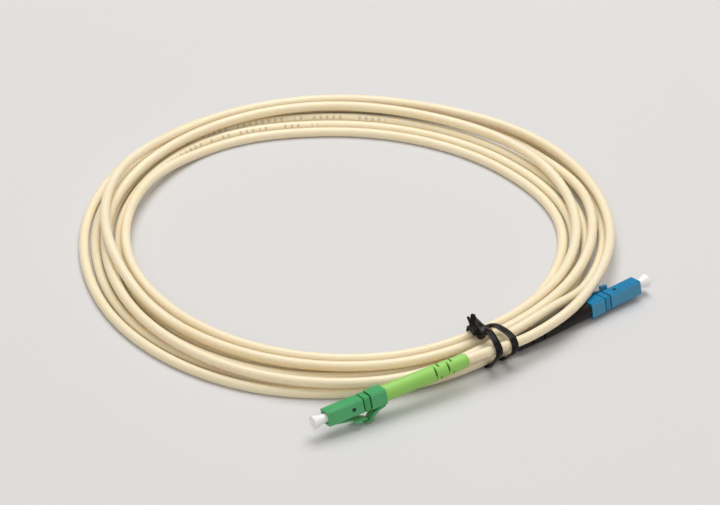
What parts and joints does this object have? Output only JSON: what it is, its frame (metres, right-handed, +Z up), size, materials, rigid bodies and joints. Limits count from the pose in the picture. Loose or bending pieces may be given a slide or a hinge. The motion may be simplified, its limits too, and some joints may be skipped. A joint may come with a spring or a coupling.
{
  "type": "fiber optic patch cord",
  "caption": "Simplex fiber patch cord with a green angled LC plug and a blue flat LC plug, its cream cable coiled and held by a twist tie.",
  "frame": {"origin": "centre of the bounding box, on the table the coil lies on", "axes": "+Z up from the table, +X to the right of the viewer who faces the two plugs, +Y away from that viewer"},
  "size_m": [0.1718, 0.1798, 0.0144],
  "materials": {
    "cap_white": "soft translucent white plastic",
    "housing_green": "moulded, semi-gloss",
    "boot_green": "soft, satin",
    "zirconia": "polished white ceramic",
    "nickel": "nickel-plated",
    "spring_steel": "bright wire",
    "backbone": "black plastic",
    "crimp_brass": "plated",
    "aramid": "yellow fibre",
    "buffer": "tight-buffered fibre",
    "housing_blue": "moulded, semi-gloss",
    "boot_black": "soft, satin",
    "jacket": "smooth cream jacket",
    "tie": "black plastic ribbon",
    "tie_wire": "soft iron wire"
  },
  "bodies": {
    "cord": {"plug_a": "housing_green", "rear_a": "housing_green", "boot_a": "boot_green", "spring_a": "spring_steel", "backbone_a": "backbone", "sleeve_a": "crimp_brass", "yarn_a": "aramid", "plug_b": "housing_blue", "rear_b": "housing_blue", "boot_b": "boot_black", "spring_b": "spring_steel", "backbone_b": "backbone", "sleeve_b": "crimp_brass", "yarn_b": "aramid", "jacket": "jacket", "tie_ribbon": "tie", "tie_wire": "tie_wire", "tie_knob": "tie"},
    "cap_a": {"cap_a": "cap_white"},
    "latch_a": {"latch_a": "housing_green"},
    "trigger_a": {"trigger_a": "housing_green"},
    "ferrule_a": {"ferrule_a": "zirconia", "flange_a": "nickel", "fibre_a": "buffer"},
    "cap_b": {"cap_b": "cap_white"},
    "latch_b": {"latch_b": "housing_blue"},
    "trigger_b": {"trigger_b": "housing_blue"},
    "ferrule_b": {"ferrule_b": "zirconia", "flange_b": "nickel", "fibre_b": "buffer"}
  },
  "joints": [
    {"name": "cap_a_pull", "type": "slide", "parent": "cord", "child": "cap_a", "axis": [-0.8553, -0.5151, -0.0553], "range_m": [0, 0.01]},
    {"name": "trigger_a_press", "type": "hinge", "parent": "cord", "child": "trigger_a", "pos_m": [0.00568, -0.07709, 0.00436], "axis": [-0.4921, 0.8411, -0.2246], "range_deg": [0, 12], "stiffness_Nm_per_rad": 0.13},
    {"name": "latch_a_press", "type": "hinge", "parent": "cord", "child": "latch_a", "pos_m": [-0.00826, -0.08543, 0.00366], "axis": [0.4921, -0.8411, 0.2246], "range_deg": [0, 7.8]},
    {"name": "ferrule_a_float", "type": "slide", "parent": "cord", "child": "ferrule_a", "axis": [0.8553, 0.5151, 0.0553], "range_m": [0, 0.0008], "stiffness_N_per_m": 1200, "deforming": ["spring_a"]},
    {"name": "cap_b_pull", "type": "slide", "parent": "cord", "child": "cap_b", "axis": [0.7878, 0.6155, 0.0227], "range_m": [0, 0.01]},
    {"name": "trigger_b_press", "type": "hinge", "parent": "cord", "child": "trigger_b", "pos_m": [0.06561, -0.02755, 0.00289], "axis": [0.1245, -0.1231, -0.9846], "range_deg": [0, 12], "stiffness_Nm_per_rad": 0.13},
    {"name": "latch_b_press", "type": "hinge", "parent": "cord", "child": "latch_b", "pos_m": [0.07853, -0.0177, 0.00329], "axis": [-0.1245, 0.1231, 0.9846], "range_deg": [0, 7.8]},
    {"name": "ferrule_b_float", "type": "slide", "parent": "cord", "child": "ferrule_b", "axis": [-0.7878, -0.6155, -0.0227], "range_m": [0, 0.0008], "stiffness_N_per_m": 1200, "deforming": ["spring_b"]}
  ],
  "couplings": [
    {"joint": "latch_a_press", "follows": "trigger_a_press", "ratio": 0.65},
    {"joint": "latch_b_press", "follows": "trigger_b_press", "ratio": 0.65}
  ]
}
